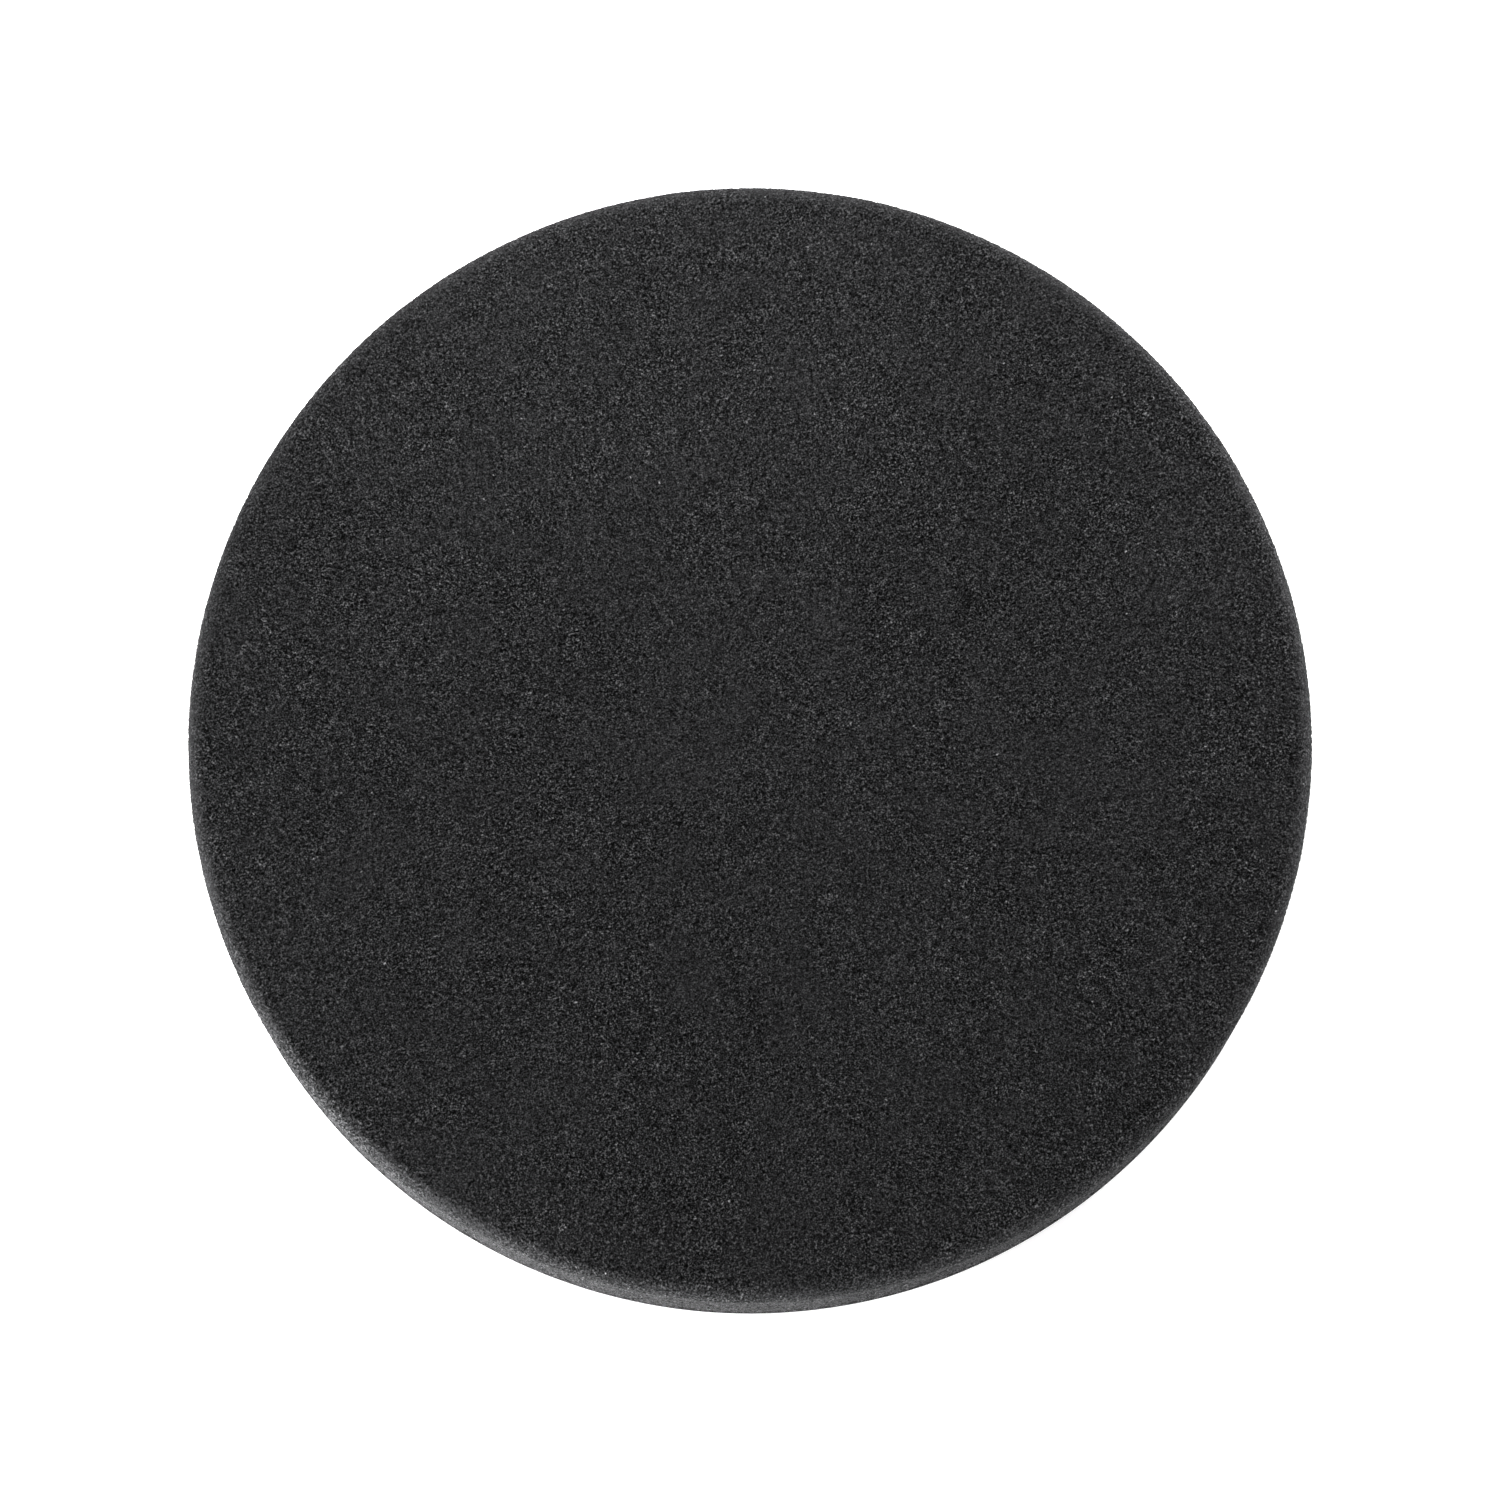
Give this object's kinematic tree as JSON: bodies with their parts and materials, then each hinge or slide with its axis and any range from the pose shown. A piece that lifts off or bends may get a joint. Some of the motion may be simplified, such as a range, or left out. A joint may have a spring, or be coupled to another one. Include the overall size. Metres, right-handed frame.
{
  "type": "polishing pad",
  "caption": "Round foam polishing pad with a flat working face, a rounded working edge, a straight wall and a hook-and-loop backing.",
  "frame": {"origin": "centre of the loop face, at the bottom of the pad", "axes": "+Z along the pad's axis, from the loop backing through the foam to the working face; X and Y are free, because the pad is round"},
  "size_m": [0.15, 0.15, 0.0275],
  "materials": {
    "foam": "matte",
    "film": "satin",
    "cloth": "matte",
    "loops": "satin"
  },
  "bodies": {
    "root": {"foam_body": "foam", "adhesive_film": "film", "loop_cloth": "cloth", "loop_pile": "loops"}
  },
  "joints": []
}
